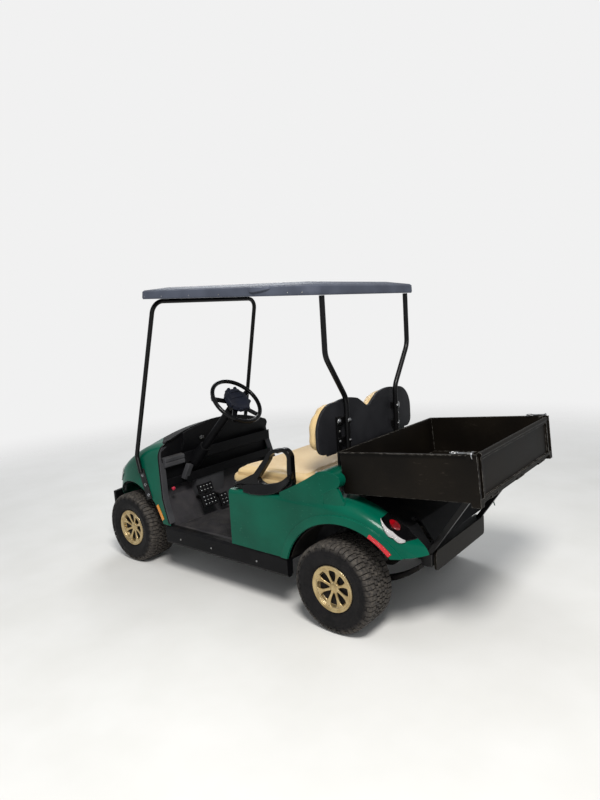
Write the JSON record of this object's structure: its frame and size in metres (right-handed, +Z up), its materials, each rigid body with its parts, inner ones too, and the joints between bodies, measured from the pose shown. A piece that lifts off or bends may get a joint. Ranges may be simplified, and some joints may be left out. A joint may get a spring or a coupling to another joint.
{
  "type": "golf cart",
  "caption": "Two-seat electric golf cart with a canopy on struts, a bench seat that lifts, steered front wheels and a rear cargo box with a drop tailgate.",
  "frame": {"origin": "on the ground, at the middle of the cart's length and width", "axes": "+X forward, +Y to the cart's left side, +Z up"},
  "size_m": [2.7655, 1.1932, 1.7733],
  "materials": {
    "green_body": "moulded green with a gloss coat",
    "black_plastic": "moulded black",
    "canopy_plastic": "moulded charcoal",
    "black_frame": "satin black",
    "box_steel": "textured black-brown coat",
    "tan_vinyl": "tan vinyl",
    "battery_case": "moulded grey",
    "gold_alloy": "gold coat",
    "rubber_tread": "dusty black rubber",
    "clear_lens": "milky white lens",
    "red_lens": "red lens",
    "amber_lens": "amber lens"
  },
  "bodies": {
    "chassis": {"battery_pack": "battery_case", "bed_supports": "black_frame", "canopy": "canopy_plastic", "cargo_box": "box_steel", "dash": "black_plastic", "floor": "black_plastic", "frame": "black_frame", "front_bumper": "black_plastic", "front_cowl": "green_body", "front_reflectors": "amber_lens", "front_strut_frame": "black_frame", "front_suspension": "black_frame", "head_lamps": "clear_lens", "hip_restraints": "black_plastic", "pedals": "black_plastic", "rear_axle": "black_frame", "rear_body": "green_body", "rear_bumper": "black_frame", "rear_deck": "black_plastic", "rear_reflectors": "red_lens", "rear_struts": "black_frame", "rear_suspension": "black_frame", "seat_back_bars": "black_frame", "seat_back_cushion": "tan_vinyl", "seat_back_shell": "black_plastic", "sills": "black_plastic", "steering_column": "black_plastic", "steering_rack": "black_frame", "tail_housings": "black_plastic", "tail_lamps": "red_lens", "tail_lenses": "clear_lens"},
    "knuckle_left": {"knuckle_left": "black_frame"},
    "knuckle_right": {"knuckle_right": "black_frame"},
    "wheel_front_left": {"rim_front_left": "gold_alloy", "tyre_front_left": "rubber_tread"},
    "wheel_front_right": {"rim_front_right": "gold_alloy", "tyre_front_right": "rubber_tread"},
    "wheel_rear_left": {"rim_rear_left": "gold_alloy", "tyre_rear_left": "rubber_tread"},
    "wheel_rear_right": {"rim_rear_right": "gold_alloy", "tyre_rear_right": "rubber_tread"},
    "steering_wheel": {"steering_wheel": "black_plastic"},
    "tailgate": {"tailgate": "box_steel"},
    "seat": {"seat_pan": "black_plastic", "seat_cushion": "tan_vinyl"}
  },
  "joints": [
    {"name": "steer_left", "type": "hinge", "parent": "chassis", "child": "knuckle_left", "pos_m": [1.00698, 0.36, 0.2285], "axis": [0, 0, 1], "range_deg": [-28, 28]},
    {"name": "steer_right", "type": "hinge", "parent": "chassis", "child": "knuckle_right", "pos_m": [1.00698, -0.36, 0.2285], "axis": [0, 0, 1], "range_deg": [-28, 28]},
    {"name": "wheel_front_left_spin", "type": "hinge", "parent": "knuckle_left", "child": "wheel_front_left", "pos_m": [1.00698, 0.45, 0.2285], "axis": [0, 1, 0], "continuous": true},
    {"name": "wheel_front_right_spin", "type": "hinge", "parent": "knuckle_right", "child": "wheel_front_right", "pos_m": [1.00698, -0.45, 0.2285], "axis": [0, 1, 0], "continuous": true},
    {"name": "wheel_rear_left_spin", "type": "hinge", "parent": "chassis", "child": "wheel_rear_left", "pos_m": [-0.66302, 0.49, 0.2285], "axis": [0, 1, 0], "continuous": true},
    {"name": "wheel_rear_right_spin", "type": "hinge", "parent": "chassis", "child": "wheel_rear_right", "pos_m": [-0.66302, -0.49, 0.2285], "axis": [0, 1, 0], "continuous": true},
    {"name": "steering_wheel_turn", "type": "hinge", "parent": "chassis", "child": "steering_wheel", "pos_m": [0.24798, 0.231, 1.064], "axis": [-0.7193, 0, 0.6947], "range_deg": [-280, 280]},
    {"name": "tailgate_hinge", "type": "hinge", "parent": "chassis", "child": "tailgate", "pos_m": [-1.37631, 0, 0.73341], "axis": [0, -1, 0], "range_deg": [0, 170]},
    {"name": "seat_lid_hinge", "type": "hinge", "parent": "chassis", "child": "seat", "pos_m": [-0.47102, 0, 0.656], "axis": [0, -1, 0], "range_deg": [0, 55]}
  ],
  "couplings": [
    {"joint": "steer_right", "follows": "steer_left", "ratio": 1},
    {"joint": "steering_wheel_turn", "follows": "steer_left", "ratio": 10}
  ]
}
